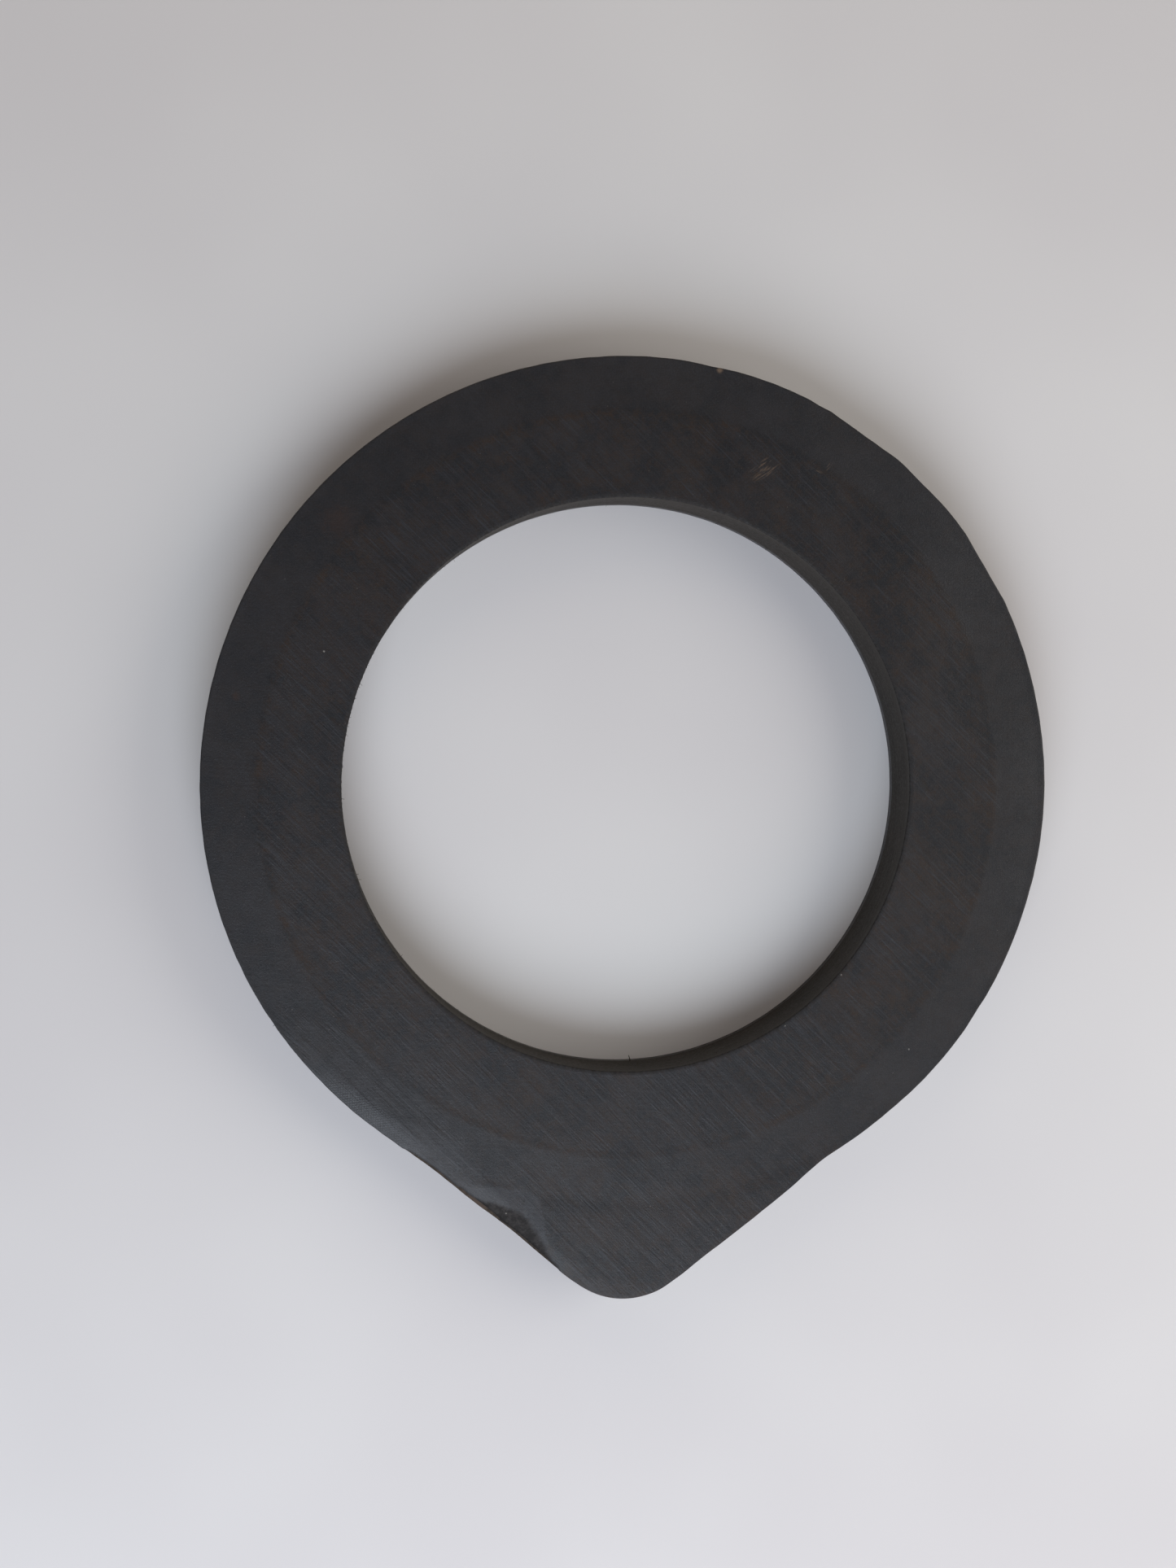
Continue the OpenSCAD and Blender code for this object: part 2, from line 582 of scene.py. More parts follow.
def fray_places(rng):
    """All loose threads: those in the bore, those on the rim and the long one."""
    in_bore = frays_along(lambda bearing: BORE_R, -1, FRAYS_IN_BORE, rng)
    on_rim = frays_along(rim_reach, 1, FRAYS_ON_RIM, rng)
    long_facing = facing(LONG_FRAY_BEARING)
    long_root = long_facing * BORE_R + UP * FRAY_HEIGHTS[1]
    return in_bore + on_rim + [(long_root, -long_facing, LONG_FRAY_LENGTH, LONG_FRAY_R)]


def build_frays(material):
    """Loose threads round the bore and the rim, each a short closed tube."""
    rng = np.random.default_rng(FRAY_SEED)
    points, faces = [], []
    for place in fray_places(rng):
        first = len(points)
        last = first + (FRAY_STEPS - 1) * FRAY_SIDES
        points.extend((fray(*place, rng) * MM).reshape(-1, 3))
        for low in range(first, last, FRAY_SIDES):
            for side in range(FRAY_SIDES):
                here, beside = low + side, low + (side + 1) % FRAY_SIDES
                faces.append((here, beside, beside + FRAY_SIDES, here + FRAY_SIDES))
        faces.append(tuple(range(first, first + FRAY_SIDES))[::-1])
        faces.append(tuple(range(last, last + FRAY_SIDES)))
    mesh = bpy.data.meshes.new("loose_threads")
    mesh.from_pydata(points, [], faces)
    mesh.materials.append(material)
    return add_object("loose_threads", mesh)


def build_bottom_cover(material):
    """The lower cover. Its underside is very slightly uneven, and its edges are bevelled."""
    bearing = bearings(COVER_SAMPLES)
    low, high = BASE
    outer = ring(bearing, hand_cut(bearing, "bottom_cover"))
    bore = ring(bearing, bore_cut(bearing))
    shoulder = moved(outer, -EDGE_ROUND)
    lip = moved(bore, BORE_ROUND)
    loops = [lip] + between(shoulder, lip, UNDERSIDE_ROWS)[::-1] + [shoulder]
    rim_seed, bore_seed = DRAG_SEEDS["bottom_cover"]
    rows = [at_height(loop, underside_height(*loop.T)) for loop in loops]
    rows += wall(outer, low + EDGE_ROUND, high, COVER_WALL_ROWS, rim_seed, RIM_DRAG)
    rows += wall(bore, low + BORE_ROUND, high, COVER_WALL_ROWS, bore_seed, BORE_DRAG)[::-1]
    return loft("bottom_cover_skin", rows, material)


# ---------------------------------------------------------------- materials

BLACK = (0.0060, 0.0068, 0.0095)
BROWN = (0.0240, 0.0120, 0.0060)
# Bloom on the rubber, with painted sheen, glint and shade laid into it through the haze
BLOOM_AND_SHEEN = (0.0225, 0.0224, 0.0258)
# Painted highlight on the fine weave's crossings and on the pared shoulder and facet
HIGHLIGHT_SLATE = (0.0300, 0.0310, 0.0370)
# Painted glint along the light streak lines
GLINT_BLUE = (0.0270, 0.0300, 0.0380)
TORN_BLACK = (0.0110, 0.0100, 0.0102)
TORN_BROWN = (0.0290, 0.0265, 0.0265)
CUT_BROWN = (0.0270, 0.0232, 0.0190)
# Painted shade line round the bore's edge and beside the bare cloth
SHADE_LINE_BLACK = (0.0060, 0.0052, 0.0050)
RUST = (0.0420, 0.0210, 0.0140)
TAN = (0.1500, 0.1050, 0.0720)
LINT = (0.3000, 0.2900, 0.2700)
# Painted shade of a small pit
PIT_SHADE = (0.0030, 0.0030, 0.0030)
SOAKED_COTTON = (0.0290, 0.0248, 0.0200)
COTTON = (0.0950, 0.0800, 0.0620)
BARE_COTTON = (0.1150, 0.0850, 0.0680)
CORE_DARK = (0.0200, 0.0170, 0.0135)
CORE_PALE = (0.0380, 0.0320, 0.0260)
TABLE_DARK = (0.70, 0.69, 0.70)
TABLE_PALE = (0.74, 0.735, 0.74)

# Looks of the cover, in millimetres. The band's look fades out over a stretch of y where the tab begins.
BAND_BLUR = (BAND_R - 0.6, BAND_R + 1.4)
BAND_LINE_R = BAND_R - 0.4
TAB_BLUR = (-72.0, -60.0)
# The inner face is a little darker and smoother from the first x to the second
RIGHT_FACE_RANGE = (-15.0, 40.0)
# How widely each patch's inner edge blurs, and how far it wanders
TEAR_EDGE = (1.4, 2.2)
FACET_EDGE = (0.8, 2.2)
SHOULDER_EDGE = (2.5, 3.0)
POLISH_AND_HIGHLIGHT_EDGE = (3.0, 2.0)
WIPED_EDGE = (4.0, 4.0)
# Streaks: length and width of the fine ones, the broad ones and the bunches they gather in
FINE_STREAK = (7.0, 0.3)
BROAD_STREAK = (26.0, 1.1)
STREAK_BUNCH = (16.0, 5.0)
BROAD_STREAK_ANGLE = STREAK_ANGLE - math.radians(3)
# How far the threads sway, in turns, under the skin and in the cloth itself
SKIN_SWAY = 0.12
CLOTH_SWAY = 0.05
# Length and height of the knife's lines on the core, and length and width of a scuff's scratches
KNIFE_LINE = (9.0, 0.45)
SCRATCH = (2.5, 0.28)
# Noises: size in millimetres, detail and, where it isn't the usual one, roughness
CLOUD_NOISE = (16.0, 5.0, 0.6)
RUST_NOISE = (8.0, 5.0, 0.65)
MOTTLE_NOISE = (2.6, 5.0, 0.65)
SPECK_NOISE = (1.6, 3.0, 0.7)
GRAIN_NOISE = (0.32, 4.0, 0.75)
DUST_NOISE = (0.4, 1.0)
CRUMB_NOISE = (1.1, 4.0, 0.7)
PATCH_NOISE = (1.8, 4.0, 0.65)
STAIN_NOISE = (0.9, 4.0, 0.7)
CUT_NOISE = (0.5, 4.0, 0.7)
WEAR_NOISE = (2.4, 4.0)
FIBRE_NOISE = (0.16, 4.0, 0.7)
# How strongly the faint parts of the cover's look lie over the rest
# Share of the painted highlight that the pared shoulder takes
SHOULDER_HIGHLIGHT_SHARE = 0.5
BROWN_SHARE = 0.9
SPECK_SHARE = 0.45
# Painted shade in the gaps of the fine weave
GAP_SHADE_SHARE = 0.2
# Painted highlight on the pared shoulder and facet
PARED_HIGHLIGHT_SHARE = 0.6
# Painted shade line round the bore's edge and beside the bare cloth
SHADE_LINE_SHARE = 0.85
DUST_SHARE = 0.2
# What the band adds to the haze as painted sheen, and how much it takes from the browning and from the
# streaks
BAND_SHEEN = 0.12
BAND_BROWN_LOSS = 0.5
BAND_STREAK_LOSS = 0.8
# How strongly the fine weave's painted highlight and the streaks' painted glint show away from the
# polished, highlighted patch
PLAIN_WEAVE = 0.1
PLAIN_GLINT = 0.65
# How much of the cloth the bore's cut smeared over
SMEARED_SHARE = 0.9
# What each feature of the cover adds to its haze of bloom and to its roughness, in this order. In the haze
# the pits are darkened as painted shade, and the band line partly as painted shade, partly as grime
HAZE_AND_SHEEN_SHARES = {
    "broad_lines": 0.2, "glint_lines": 0.5, "mottle": 0.3, "right_face": -0.12,
    "grain": 0.45, "dark_lines": -0.7, "pits": -0.1, "band_line": -0.45,
}
ROUGHNESS_SHARES = {
    "pits": 0.05, "dark_lines": 0.07, "rusty": 0.04, "band_line": 0.08, "dark_line": 0.25, "polish_and_highlight": -0.2,
    "right_face": -0.04, "gaps": 0.16, "grain": -0.06, "mottle": -0.05, "broken_skin": 0.36,
}
# Depths of the cover's relief
GRAIN_DEPTH = 0.055
STREAK_DEPTH = 0.045
PIT_DEPTH = 0.009
WEAVE_DEPTH = 0.012

# Stains and specks: place, radius, strength and tint. Their outlines are ragged by a share of the radius.
STAIN_RAG = 1.1
STAIN_BLUR = (0.6, 1.4)
STAINS = (
    (15.8, 73.4, 0.9, 0.8, TAN),
    (-51.2, 45.8, 5.0, 0.35, RUST),
    (-68.6, 15.7, 1.3, 0.45, RUST),
    (-53.7, 23.4, 0.28, 0.9, LINT),
    (50.9, -48.0, 0.3, 0.7, LINT),
    (-22.3, -75.5, 0.22, 0.6, LINT),
    (27.9, -43.2, 0.22, 0.7, LINT),
    (38.2, -34.2, 0.22, 0.7, LINT),
    # A small pit painted as dark shade
    (-19.2, -73.4, 0.45, 0.9, PIT_SHADE),
)
# Scuffs of fine scratches: place, length, width and bearing
SCUFFS = (
    (23.9, 56.3, 8.0, 4.0, 35),
    (33.4, 56.0, 3.4, 0.9, -35),
    (35.6, 56.9, 2.6, 0.8, 50),
)


class Graph:
    """One material's nodes, with short calls to add and join them."""

    def __init__(self, name):
        self.material = bpy.data.materials.new(name)
        self.material.use_nodes = True
        self.tree = self.material.node_tree
        self.shader = self.tree.nodes["Principled BSDF"]
        coordinates = self.tree.nodes.new("ShaderNodeTexCoord")
        self.place = self.vector("SCALE", coordinates.outputs["Object"], scale=PER_METRE)

    def feed(self, socket, value):
        """Joins another node's output to a socket, or sets the socket to a constant."""
        if isinstance(value, bpy.types.NodeSocket):
            self.tree.links.new(value, socket)
        else:
            socket.default_value = value

    def vector(self, operation, first, second=None, scale=None):
        """The result of a vector maths node."""
        node = self.tree.nodes.new("ShaderNodeVectorMath")
        node.operation = operation
        self.feed(node.inputs[0], first)
        if second is not None:
            self.feed(node.inputs[1], second)
        if scale is not None:
            node.inputs["Scale"].default_value = scale
        return node.outputs["Value" if operation in ("DOT_PRODUCT", "DISTANCE", "LENGTH") else "Vector"]

    def math(self, operation, *values, clamp=False):
        """The result of a maths node."""
        node = self.tree.nodes.new("ShaderNodeMath")
        node.operation = operation
        node.use_clamp = clamp
        for socket, value in zip(node.inputs, values):
            self.feed(socket, value)
        return node.outputs[0]

    def product(self, first, *others):
        """The given values multiplied together."""
        for other in others:
            first = self.math("MULTIPLY", first, other)
        return first

    def rest(self, share):
        """What a share leaves of 1."""
        return self.math("SUBTRACT", 1.0, share)

    def blend(self, start, masks, shares):
        """Adds each mask's share to a start value, and keeps it between 0 and 1 on the way."""
        for name, share in shares.items():
            start = self.math("MULTIPLY_ADD", masks[name], share, start, clamp=True)
        return start

    def span(self, value, low, high, to_low=0.0, to_high=1.0):
        """Maps low..high smoothly onto to_low..to_high and holds it there beyond the ends."""
        node = self.tree.nodes.new("ShaderNodeMapRange")
        node.interpolation_type = "SMOOTHSTEP"
        self.feed(node.inputs["Value"], value)
        for key, number in (("From Min", low), ("From Max", high), ("To Min", to_low), ("To Max", to_high)):
            node.inputs[key].default_value = number
        return node.outputs["Result"]

    def noise(self, place, size, detail=3.0, roughness=0.55):
        """Cloudy noise whose features are about size millimetres across."""
        node = self.tree.nodes.new("ShaderNodeTexNoise")
        self.feed(node.inputs["Vector"], place)
        node.inputs["Scale"].default_value = 1.0 / size
        node.inputs["Detail"].default_value = detail
        node.inputs["Roughness"].default_value = roughness
        return node.outputs["Fac"]

    def mix(self, share, first, second):
        """The first colour with a share of the second over it."""
        node = self.tree.nodes.new("ShaderNodeMix")
        node.data_type = "RGBA"
        self.feed(node.inputs["Factor"], share)
        self.feed(node.inputs["A"], (*first, 1.0) if isinstance(first, tuple) else first)
        self.feed(node.inputs["B"], (*second, 1.0) if isinstance(second, tuple) else second)
        return node.outputs["Result"]

    def mark(self, name):
        """A number that the mesh holds for each point, or 0 where it holds none."""
        node = self.tree.nodes.new("ShaderNodeAttribute")
        node.attribute_name = name
        return node.outputs["Fac"]

    def flat(self):
        """The place with its height left out."""
        return self.vector("MULTIPLY", self.place, (1, 1, 0))

    def parts(self, place=None):
        """The x, y and z of a place."""
        node = self.tree.nodes.new("ShaderNodeSeparateXYZ")
        self.feed(node.inputs[0], place or self.place)
        return node.outputs

    def stretched(self, angle, along, across, place=None):
        """A place turned so that X runs along an angle, and squeezed by a length each way."""
        turned = self.tree.nodes.new("ShaderNodeMapping")
        self.feed(turned.inputs["Vector"], place or self.place)
        turned.inputs["Rotation"].default_value = (0, 0, -angle)
        return self.vector("MULTIPLY", turned.outputs["Vector"], (1 / along, 1 / across, 1 / across))

    def bump(self, height, depth, under=None):
        """Bump of a height between 0 and 1, whose full depth is in millimetres."""
        node = self.tree.nodes.new("ShaderNodeBump")
        node.inputs["Strength"].default_value = 1.0
        node.inputs["Distance"].default_value = depth * MM
        self.feed(node.inputs["Height"], height)
        if under is not None:
            self.feed(node.inputs["Normal"], under)
        return node.outputs["Normal"]

    def finish(self, colour, roughness, specular=0.5, normal=None):
        """Joins the results to the shader and returns the material."""
        self.feed(self.shader.inputs["Base Color"], colour)
        self.feed(self.shader.inputs["Roughness"], roughness)
        self.feed(self.shader.inputs["Specular IOR Level"], specular)
        if normal is not None:
            self.feed(self.shader.inputs["Normal"], normal)
        return self.material


def weave_phases(graph, sway):
    """Warp and weft phases, in turns, of the cloth pattern, whose threads sway a little."""
    drift = graph.product(graph.math("SUBTRACT", graph.noise(graph.place, 6.0), 0.5), sway * 2)
    warp = graph.math("ADD", graph.vector("DOT_PRODUCT", graph.place, (*WARP_TURNS, 0.0)), drift)
    weft = graph.math("ADD", graph.vector("DOT_PRODUCT", graph.place, (*WEFT_TURNS, 0.0)), drift)
    return warp, weft


def cosine(graph, turns):
    """The cosine of a number of turns."""
    return graph.math("COSINE", graph.product(turns, math.tau))


def wave(graph, turns):
    """The cosine of a number of turns, moved to lie between 0 and 1."""
    return graph.math("MULTIPLY_ADD", cosine(graph, turns), 0.5, 0.5)


def fine_weave(graph):
    """Crossings of the fine cloth under the skin: 1 on every other one, and 0 between them."""
    turns = graph.stretched(STREAK_ANGLE, *FINE_THREADS)
    along, across, _ = graph.parts(turns)
    return graph.span(graph.product(cosine(graph, along), cosine(graph, across)), -0.2, 0.9)


def add_marks(graph, colour):
    """Small stains, specks and scuffs of the upper face."""
    flat_place = graph.flat()
    ragged = graph.noise(graph.place, *STAIN_NOISE)
    for x, y, radius, strength, tint in STAINS:
        distance = graph.vector("DISTANCE", flat_place, (x, y, 0.0))
        distance = graph.math("MULTIPLY_ADD", ragged, radius * STAIN_RAG, distance)
        full, end = (radius * share for share in STAIN_BLUR)
        colour = graph.mix(graph.span(distance, full, end, strength, 0.0), colour, tint)
    for x, y, length, width, degrees in SCUFFS:
        angle = math.radians(degrees)
        offset = graph.vector("SUBTRACT", flat_place, (x, y, 0.0))
        reach = graph.vector("LENGTH", graph.stretched(angle, length / 2, width / 2, offset))
        lines = graph.span(graph.noise(graph.stretched(angle, *SCRATCH), 1.0, 2.0), 0.5, 0.68)
        colour = graph.mix(graph.product(lines, graph.span(reach, 0.35, 1.0, 0.6, 0.0)), colour, TAN)
    return colour


def on_patch(graph, patch, blur, wander_width):
    """1 on a patch of the flank and 0 off it, with an inner edge that wanders a little."""
    start, peak, end, width = patch
    from_start = graph.vector("SUBTRACT", graph.place, (*FLANK_START, 0.0))
    along = graph.vector("DOT_PRODUCT", from_start, (*FLANK_ALONG, 0.0))
    inward = graph.vector("DOT_PRODUCT", from_start, (*FLANK_INWARD, 0.0))
    share = graph.product(graph.span(along, start, peak), graph.span(along, peak, end, 1.0, 0.0))
    drift = graph.math("SUBTRACT", graph.noise(graph.place, *PATCH_NOISE), 0.5)
    inward = graph.math("MULTIPLY_ADD", drift, wander_width, inward)
    depth = graph.math("SUBTRACT", graph.product(share, width), inward)
    return graph.product(graph.span(depth, 0.0, blur), graph.span(share, 0.0, PATCH_FADE))


def flank_masks(graph, marked):
    """Where the tab's left flank is torn, pared and polished, and where it takes painted highlights. An
    unmarked cover has none of these.
    """
    if not marked:
        return {"torn": 0.0, "pared": 0.0, "polish_and_highlight": 0.0}
    shoulder = graph.product(on_patch(graph, SHOULDER, *SHOULDER_EDGE), SHOULDER_HIGHLIGHT_SHARE)
    return {
        "torn": on_patch(graph, TEAR, *TEAR_EDGE),
        "pared": graph.math("MAXIMUM", on_patch(graph, FACET, *FACET_EDGE), shoulder),
        "polish_and_highlight": on_patch(graph, POLISH_AND_HIGHLIGHT, *POLISH_AND_HIGHLIGHT_EDGE),
    }


def band_masks(graph):
    """The pressed band, the broken line round its inner edge, and the right part of the face inside it."""
    from_centre = graph.vector("DISTANCE", graph.flat(), (*RIM_CENTRE, 0.0))
    rightward, upward, _ = graph.parts()
    band = graph.product(graph.span(from_centre, *BAND_BLUR), graph.span(upward, *TAB_BLUR))
    off_line = graph.math("ABSOLUTE", graph.math("SUBTRACT", from_centre, BAND_LINE_R))
    broken = graph.span(graph.noise(graph.place, 5.0), 0.35, 0.6, 0.5, 1.0)
    return {
        "band": band,
        "band_line": graph.product(graph.span(off_line, 0.1, 1.1, 1.0, 0.0), broken),
        "right_face": graph.product(graph.span(rightward, *RIGHT_FACE_RANGE), graph.rest(band)),
        "calm": graph.product(band, graph.rest(on_patch(graph, WIPED, *WIPED_EDGE))),
    }


def streak_masks(graph, calm, skin):
    """Fine and broad streaks of one slant. They come in bunches and are faint where the band is calm."""
    shown = graph.product(graph.math("MULTIPLY_ADD", calm, -BAND_STREAK_LOSS, 1.0), skin)
    bunches = graph.noise(graph.stretched(STREAK_ANGLE, *STREAK_BUNCH), 1.0, 4.0)
    streaked = graph.product(graph.span(bunches, 0.4, 0.64, 0.3, 1.0), shown)
    fine = graph.noise(graph.stretched(STREAK_ANGLE, *FINE_STREAK), 1.0)
    broad = graph.noise(graph.stretched(BROAD_STREAK_ANGLE, *BROAD_STREAK), 1.0)
    broad_lines = graph.product(graph.span(broad, 0.4, 0.66), shown)
    return {
        # The light lines are painted glints on the crests of the streaks
        "glint_lines": graph.product(graph.span(fine, 0.52, 0.75), streaked),
        "dark_lines": graph.product(graph.span(fine, 0.25, 0.48, 1.0, 0.0), streaked),
        "broad_lines": broad_lines,
        "ridges": graph.math("MULTIPLY_ADD", broad_lines, 0.4, graph.product(fine, streaked)),
    }


def weave_masks(graph, polish_and_highlight, skin):
    """Pits that the coarse cloth left, and the fine cloth's crossings with the gaps between them. The
    crossings take a painted highlight and the gaps painted shade.
    """
    warp, weft = weave_phases(graph, SKIN_SWAY)
    patchy = graph.span(graph.noise(graph.place, 9.0), 0.42, 0.7, 0.2, 1.0)
    polish = graph.product(skin, graph.math("MULTIPLY_ADD", polish_and_highlight, 1 - PLAIN_WEAVE, PLAIN_WEAVE))
    woven = graph.product(fine_weave(graph), polish)
    return {
        "pits": graph.product(patchy, skin, graph.product(wave(graph, warp), wave(graph, weft))),
        "woven": woven,
        "gaps": graph.math("SUBTRACT", polish, woven),
    }


def skin_masks(graph):
    """The skin's clouds, mottling, browning, grain and dust."""
    rusty = graph.span(graph.noise(graph.place, *RUST_NOISE), 0.42, 0.62)
    brown_specks = graph.span(graph.noise(graph.place, *SPECK_NOISE), 0.44, 0.6)
    browned = graph.math("MULTIPLY_ADD", brown_specks, SPECK_SHARE, graph.product(rusty, 1 - SPECK_SHARE))
    bumps = graph.noise(graph.place, *GRAIN_NOISE)
    return {
        "clouds": graph.noise(graph.place, *CLOUD_NOISE),
        "mottle": graph.span(graph.noise(graph.place, *MOTTLE_NOISE), 0.35, 0.7),
        "rusty": rusty,
        "browned": browned,
        "bumps": bumps,
        "grain": graph.span(bumps, 0.42, 0.66),
        "dust": graph.span(graph.noise(graph.place, *DUST_NOISE), 0.78, 0.83),
    }


def cover_colour(graph, masks):
    """Black rubber with coats of colour laid over it in turn, each by its share."""
    brown_share = graph.math("MULTIPLY_ADD", masks["band"], -BAND_BROWN_LOSS, BROWN_SHARE)
    browned = graph.product(masks["browned"], brown_share)
    clouds = graph.span(masks["clouds"], 0.36, 0.66, -0.04, 0.28)
    # The haze is bloom in random clouds, with painted sheen added on the band
    haze_and_sheen = graph.math("MULTIPLY_ADD", masks["band"], BAND_SHEEN, clouds)
    # Painted glint along the light streak lines, stronger on the highlighted patch
    glint_share = graph.math("MULTIPLY_ADD", masks["polish_and_highlight"], 1 - PLAIN_GLINT, PLAIN_GLINT)
    glints = graph.product(masks["glint_lines"], glint_share)
    crumbled = graph.span(graph.noise(graph.place, *CRUMB_NOISE), 0.42, 0.6)
    colour = BLACK
    for share, tint in (
        (browned, BROWN),
        (graph.blend(haze_and_sheen, masks, HAZE_AND_SHEEN_SHARES), BLOOM_AND_SHEEN),
        (glints, GLINT_BLUE),
        # The fine weave's crossings are painted lighter as highlight, and its gaps darker as shade
        (masks["woven"], HIGHLIGHT_SLATE),
        (graph.product(masks["gaps"], GAP_SHADE_SHARE), BLACK),
        # Painted highlight on the gently sloped pared shoulder and facet
        (graph.product(masks["pared"], PARED_HIGHLIGHT_SHARE), HIGHLIGHT_SLATE),
        (masks["cut"], CUT_BROWN),
        (masks["torn"], graph.mix(crumbled, TORN_BLACK, TORN_BROWN)),
        # Painted shade line round the bore's edge and beside the bare cloth
        (graph.product(masks["dark_line"], SHADE_LINE_SHARE), SHADE_LINE_BLACK),
        (graph.product(masks["dust"], DUST_SHARE), LINT),
    ):
        colour = graph.mix(share, colour, tint)
    return colour


def cover_relief(graph, masks):
    """Grain, streaks, pits and fine weave, each bump over the one before."""
    normal = graph.bump(masks["bumps"], GRAIN_DEPTH)
    normal = graph.bump(masks["ridges"], STREAK_DEPTH, normal)
    normal = graph.bump(graph.rest(masks["pits"]), PIT_DEPTH, normal)
    return graph.bump(masks["woven"], WEAVE_DEPTH, normal)


def cover_rubber(name, marked):
    """Black rubber skin that was cured against woven cloth and then wiped along one slant."""
    graph = Graph(name)
    masks = {"cut": graph.mark("cut"), "dark_line": graph.mark("dark_line")}
    masks.update(flank_masks(graph, marked))
    masks.update(band_masks(graph))
    masks.update(skin_masks(graph))
    masks["broken_skin"] = graph.math("MAXIMUM", masks["cut"], masks["torn"])
    skin = graph.rest(masks["broken_skin"])
    masks.update(streak_masks(graph, masks["calm"], skin))
    masks.update(weave_masks(graph, masks["polish_and_highlight"], skin))
    colour = cover_colour(graph, masks)
    if marked:
        colour = add_marks(graph, colour)
    rough = graph.blend(graph.span(masks["clouds"], 0.3, 0.7, 0.46, 0.40), masks, ROUGHNESS_SHARES)
    return graph.finish(colour, rough, specular=0.4, normal=cover_relief(graph, masks))


def cut_rubber():
    """Brownish black rubber as a knife leaves it, with fine lines along the cut."""
    graph = Graph("cut_core_rubber")
    length, height = KNIFE_LINE
    stretched = graph.vector("MULTIPLY", graph.place, (1 / length, 1 / length, 1 / height))
    lines = graph.noise(stretched, 1.0, 3.0, 0.6)
    crumbs = graph.noise(graph.place, *CUT_NOISE)
    stain = graph.noise(graph.place, 7.0, 4.0)
    share = graph.product(graph.span(lines, 0.35, 0.68), graph.span(stain, 0.3, 0.7, 0.4, 1.0))
    colour = graph.mix(share, CORE_DARK, CORE_PALE)
    normal = graph.bump(lines, depth=0.05, under=graph.bump(crumbs, depth=0.05))
    rough = graph.span(crumbs, 0.3, 0.7, 0.62, 0.82)
    return graph.finish(colour, rough, specular=0.3, normal=normal)


def soaked_cloth():
    """Rubber-soaked duck: pale thread ends in dark rubber on the cut, smeared over in the bore."""
    graph = Graph("soaked_cloth")
    smeared = graph.mark("smeared")
    warp, weft = weave_phases(graph, CLOTH_SWAY)
    warp_ends = wave(graph, graph.math("ADD", warp, 0.5))
    weft_ends = wave(graph, graph.math("ADD", weft, 0.5))
    threads = graph.math("MAXIMUM", warp_ends, weft_ends)
    fibres = graph.noise(graph.place, *FIBRE_NOISE)
    worn = graph.noise(graph.place, *WEAR_NOISE)
    shown = graph.product(graph.span(threads, 0.35, 0.95), graph.span(worn, 0.3, 0.62, 0.3, 0.8))
    shown = graph.product(shown, graph.span(fibres, 0.25, 0.7, 0.5, 1.0))
    clear = graph.math("MULTIPLY_ADD", smeared, -SMEARED_SHARE, 1.0)
    bare = graph.product(graph.mark("bare"), graph.span(worn, 0.35, 0.6, 0.3, 0.9))
    colour = graph.mix(graph.product(shown, clear), SOAKED_COTTON, COTTON)
    colour = graph.mix(bare, colour, BARE_COTTON)
    normal = graph.bump(graph.product(fibres, clear), depth=0.05)
    rough = graph.span(smeared, 0.0, 1.0, 0.9, 0.72)
    return graph.finish(colour, rough, specular=0.3, normal=normal)


def loose_cotton():
    """Loose cotton threads, grey with rubber dust."""
    graph = Graph("loose_cotton")
    dusty = graph.span(graph.noise(graph.place, 0.5), 0.3, 0.7)
    normal = graph.bump(graph.noise(graph.place, 0.05), depth=0.02)
    colour = graph.mix(dusty, SOAKED_COTTON, COTTON)
    return graph.finish(colour, roughness=0.95, normal=normal)


def pale_table():
    """Plain pale table top."""
    graph = Graph("pale_table")
    clouds = graph.noise(graph.place, 90.0, 2.0)
    colour = graph.mix(graph.span(clouds, 0.3, 0.7), TABLE_DARK, TABLE_PALE)
    return graph.finish(colour, roughness=0.55, specular=0.2)


# ---------------------------------------------------------------- camera, floor and light

CAMERA_PLACE = (-51.5, 10.7, 335.1)
CAMERA_TILT = (-1.82, -7.72, 0.0)
LENS = 42.46
SENSOR_LONG_SIDE = 36.0
CLIP_START = 10.0
FLOOR_HALF = 6000.0
# The floor lies a hair's breadth below the underside, so that the two never share a plane
FLOOR_GAP = 0.02

LIGHT_DISTANCE = 680.0
LIGHTS = {
    # name: bearing and height in degrees, width in millimetres, watts, colour
    "window": (-103, 47, 550.0, 12.9, (0.80, 0.88, 0.97)),
    "side": (-2, 30, 660.0, 8.3, (1.0, 0.97, 0.90)),
    "front": (-75, 20, 400.0, 3.1, (1.0, 0.75, 0.70)),
    "back": (100, 28, 620.0, 2.6, (1.0, 0.80, 0.50)),
}
SKY_COLOUR = (1.0, 0.95, 1.0)
SKY_STRENGTH = 0.185


def add_camera():
    """The camera that was fitted to the photo."""
    camera_data = bpy.data.cameras.new("camera")
    camera_data.lens = LENS
    camera_data.sensor_width = SENSOR_LONG_SIDE
    camera_data.clip_start = CLIP_START * MM
    camera = add_object("camera", camera_data)
    camera.location = [value * MM for value in CAMERA_PLACE]
    camera.rotation_euler = [math.radians(value) for value in CAMERA_TILT]
    bpy.context.scene.camera = camera


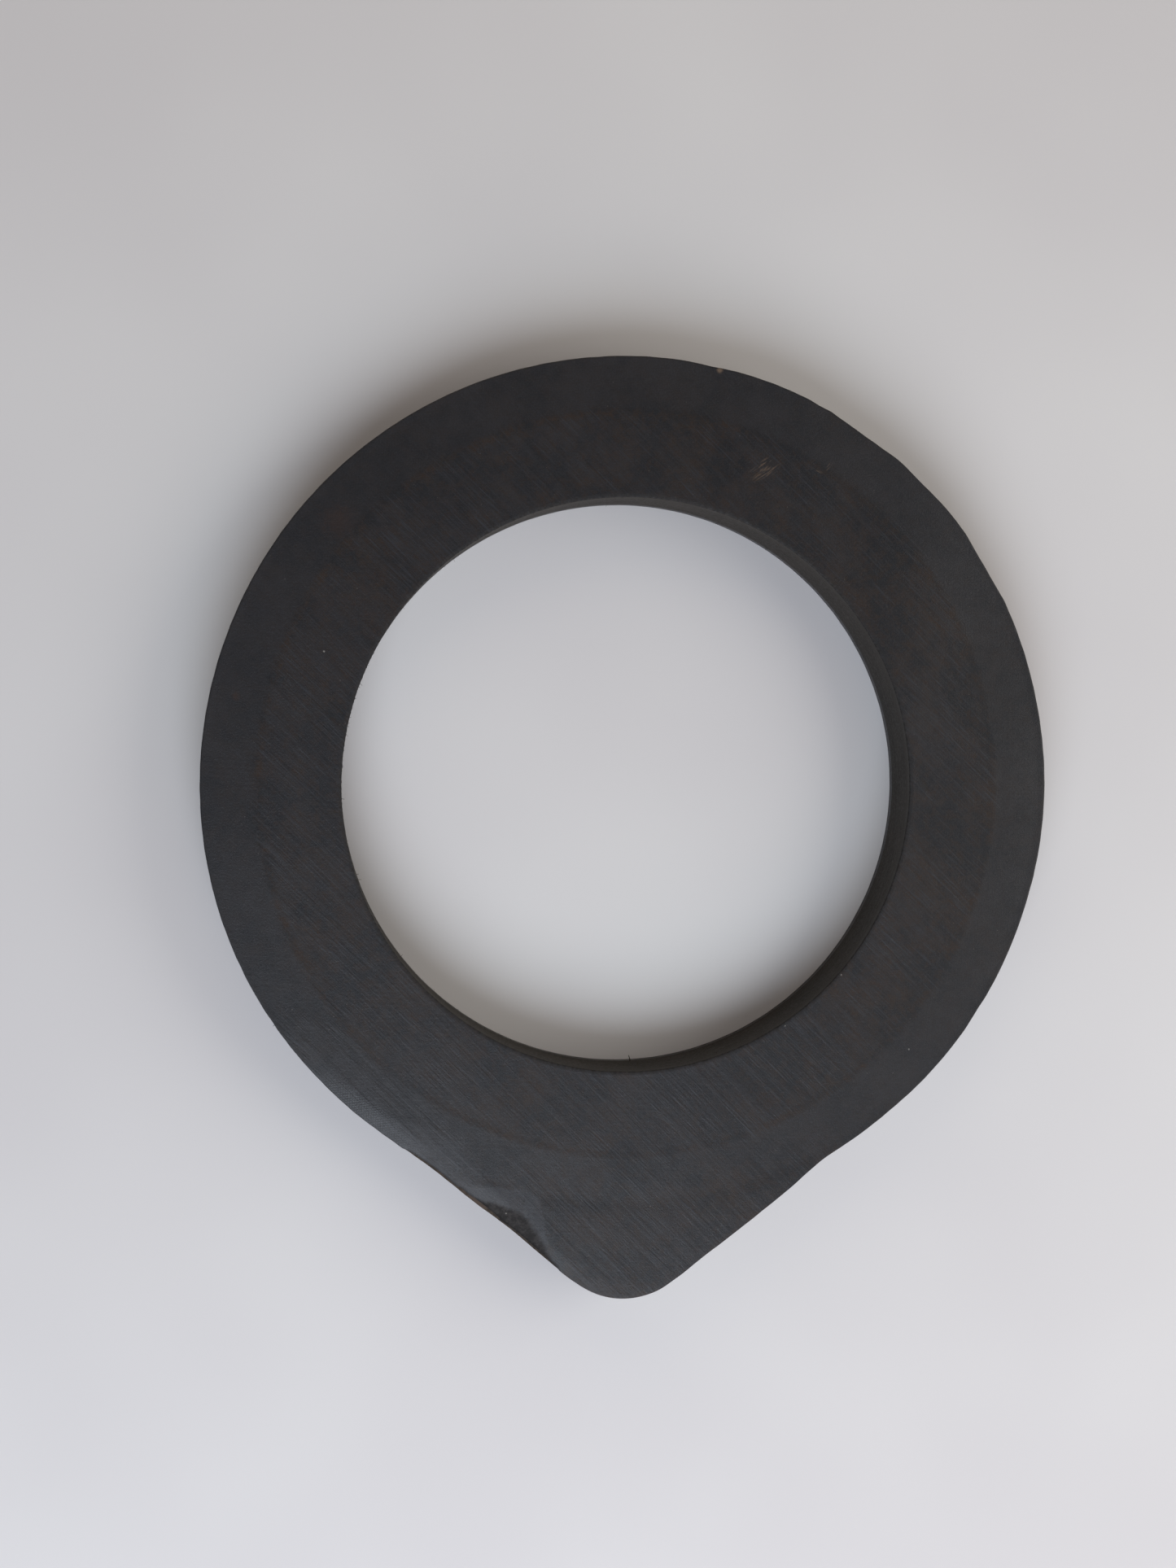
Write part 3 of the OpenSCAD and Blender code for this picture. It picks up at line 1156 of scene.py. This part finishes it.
def add_floor():
    """The table top that the gasket lies on."""
    half = FLOOR_HALF * MM
    low = -FLOOR_GAP * MM
    mesh = bpy.data.meshes.new("floor")
    corners = [(-half, -half, low), (half, -half, low), (half, half, low), (-half, half, low)]
    mesh.from_pydata(corners, [], [(0, 1, 2, 3)])
    mesh.materials.append(pale_table())
    add_object("floor", mesh)


def add_light(name, bearing, height, size, power, colour):
    """A big soft ball of light at a bearing and a height above the floor, as seen from the bore."""
    light_data = bpy.data.lights.new(name, "POINT")
    light_data.shadow_soft_size = size / 2 * MM
    light_data.energy = power
    light_data.color = colour
    turn, rise = math.radians(bearing), math.radians(height)
    flat = LIGHT_DISTANCE * MM * math.cos(rise)
    light = add_object(name, light_data)
    light.location = (flat * math.cos(turn), flat * math.sin(turn), LIGHT_DISTANCE * MM * math.sin(rise))


def add_sky():
    """Even light from all round, and colours shown as they are."""
    world = bpy.data.worlds.new("sky")
    world.use_nodes = True
    background = world.node_tree.nodes["Background"]
    background.inputs["Color"].default_value = (*SKY_COLOUR, 1.0)
    background.inputs["Strength"].default_value = SKY_STRENGTH
    bpy.context.scene.world = world
    bpy.context.scene.view_settings.view_transform = "Standard"


# ---------------------------------------------------------------- assembly


def stand_for(piece, node):
    """Shows a detailed piece in place of its CAD layer."""
    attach(piece, "root")
    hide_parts(node)


add_camera()
add_floor()
for light_name, settings in LIGHTS.items():
    add_light(light_name, *settings)
add_sky()
cloth = soaked_cloth()
stand_for(build_top_cover(cover_rubber("upper_cover_rubber", True)), "top_cover")
upper_ply = build_ply("upper_ply_cloth", "upper_cloth_ply", UPPER_PLY, cloth)
stand_for(upper_ply, "upper_cloth_ply")
stand_for(build_core(cut_rubber()), "core_rubber")
lower_ply = build_ply("lower_ply_cloth", "lower_cloth_ply", LOWER_PLY, cloth)
stand_for(lower_ply, "lower_cloth_ply")
stand_for(build_bottom_cover(cover_rubber("lower_cover_rubber", False)), "bottom_cover")
loose_threads = build_frays(loose_cotton())
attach(loose_threads, "root")
